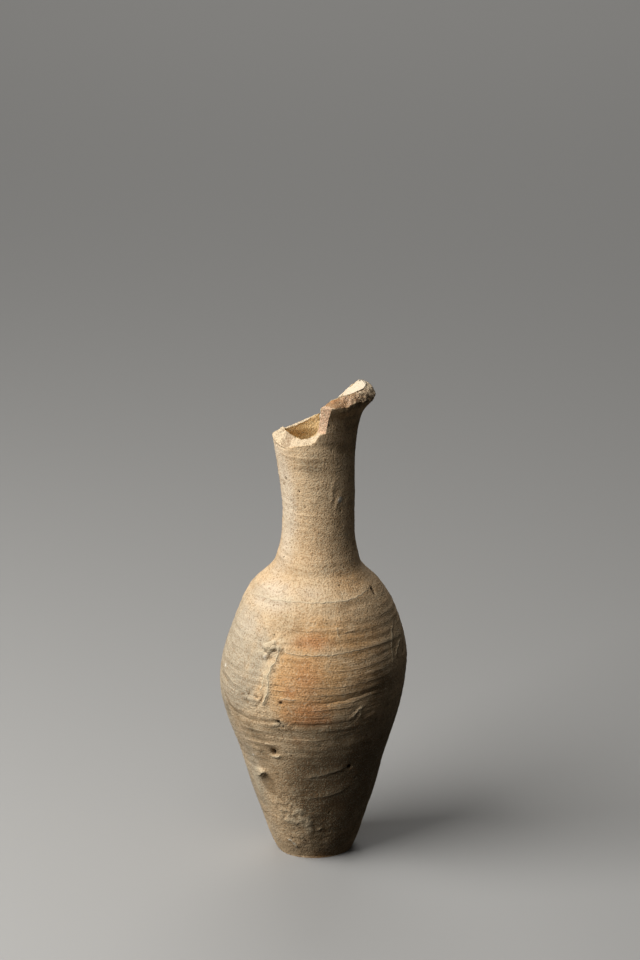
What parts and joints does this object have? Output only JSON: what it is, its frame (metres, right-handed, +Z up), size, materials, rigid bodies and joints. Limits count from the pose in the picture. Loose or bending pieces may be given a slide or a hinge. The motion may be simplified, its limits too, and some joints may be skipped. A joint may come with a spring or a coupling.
{
  "type": "earthenware unguentarium",
  "caption": "Slender wheel-thrown fired-clay perfume or oil bottle: ovoid body tapering to a flat foot, tall neck, flared lip broken away on one side.",
  "frame": {"origin": "middle of the flat underside of the foot, on the surface that the bottle stands on", "axes": "+Z up along the bottle, foot to mouth; +X towards the part of the lip that survives; +Y towards the back, away from the step in the broken rim"},
  "size_m": [0.0765, 0.0761, 0.2002],
  "materials": {
    "earthenware": "matt, unglazed, sandy buff"
  },
  "bodies": {
    "root": {"vessel": "earthenware"}
  },
  "joints": []
}
